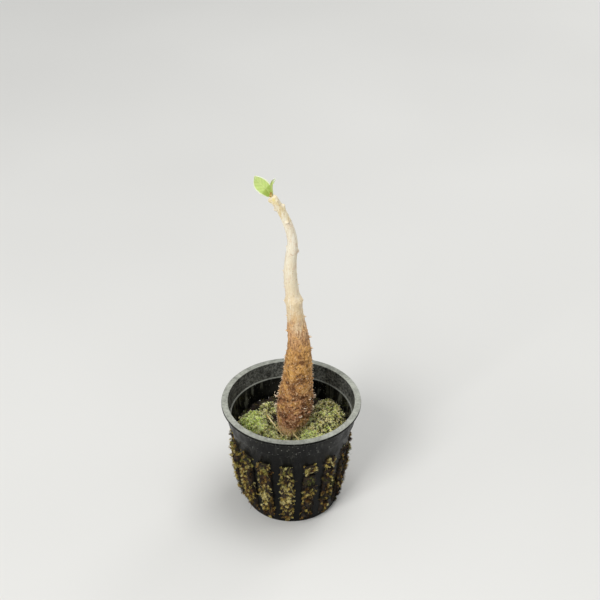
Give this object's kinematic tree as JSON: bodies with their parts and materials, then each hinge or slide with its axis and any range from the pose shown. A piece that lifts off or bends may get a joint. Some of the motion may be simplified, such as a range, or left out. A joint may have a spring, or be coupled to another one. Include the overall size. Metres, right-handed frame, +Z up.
{
  "type": "potted ant plant",
  "caption": "Young spiny-stemmed ant plant with a fresh leaf pair, in a slotted net pot packed with moss.",
  "frame": {"origin": "middle of the pot's underside, in the plane it stands on", "axes": "+Z up along the pot's axis, -Y towards the front that the picture shows, +X to its right"},
  "size_m": [0.075, 0.075, 0.2006],
  "materials": {
    "pot_plastic": "satin",
    "medium": "matte",
    "green_moss": "matte",
    "olive_moss": "matte",
    "bark": "matte",
    "leaf": "satin",
    "dry_plant": "matte"
  },
  "bodies": {
    "root": {"net_pot": "pot_plastic", "growing_medium": "medium", "moss_cushion_left": "green_moss", "moss_cushion_front": "green_moss", "moss_cushion_front_left": "olive_moss", "moss_cushion_back_left": "olive_moss", "moss_cushion_right": "olive_moss", "stem": "bark", "leaf_open": "leaf", "leaf_young": "leaf", "stipule": "dry_plant", "dry_straw": "dry_plant", "dry_needle": "dry_plant"}
  },
  "joints": []
}
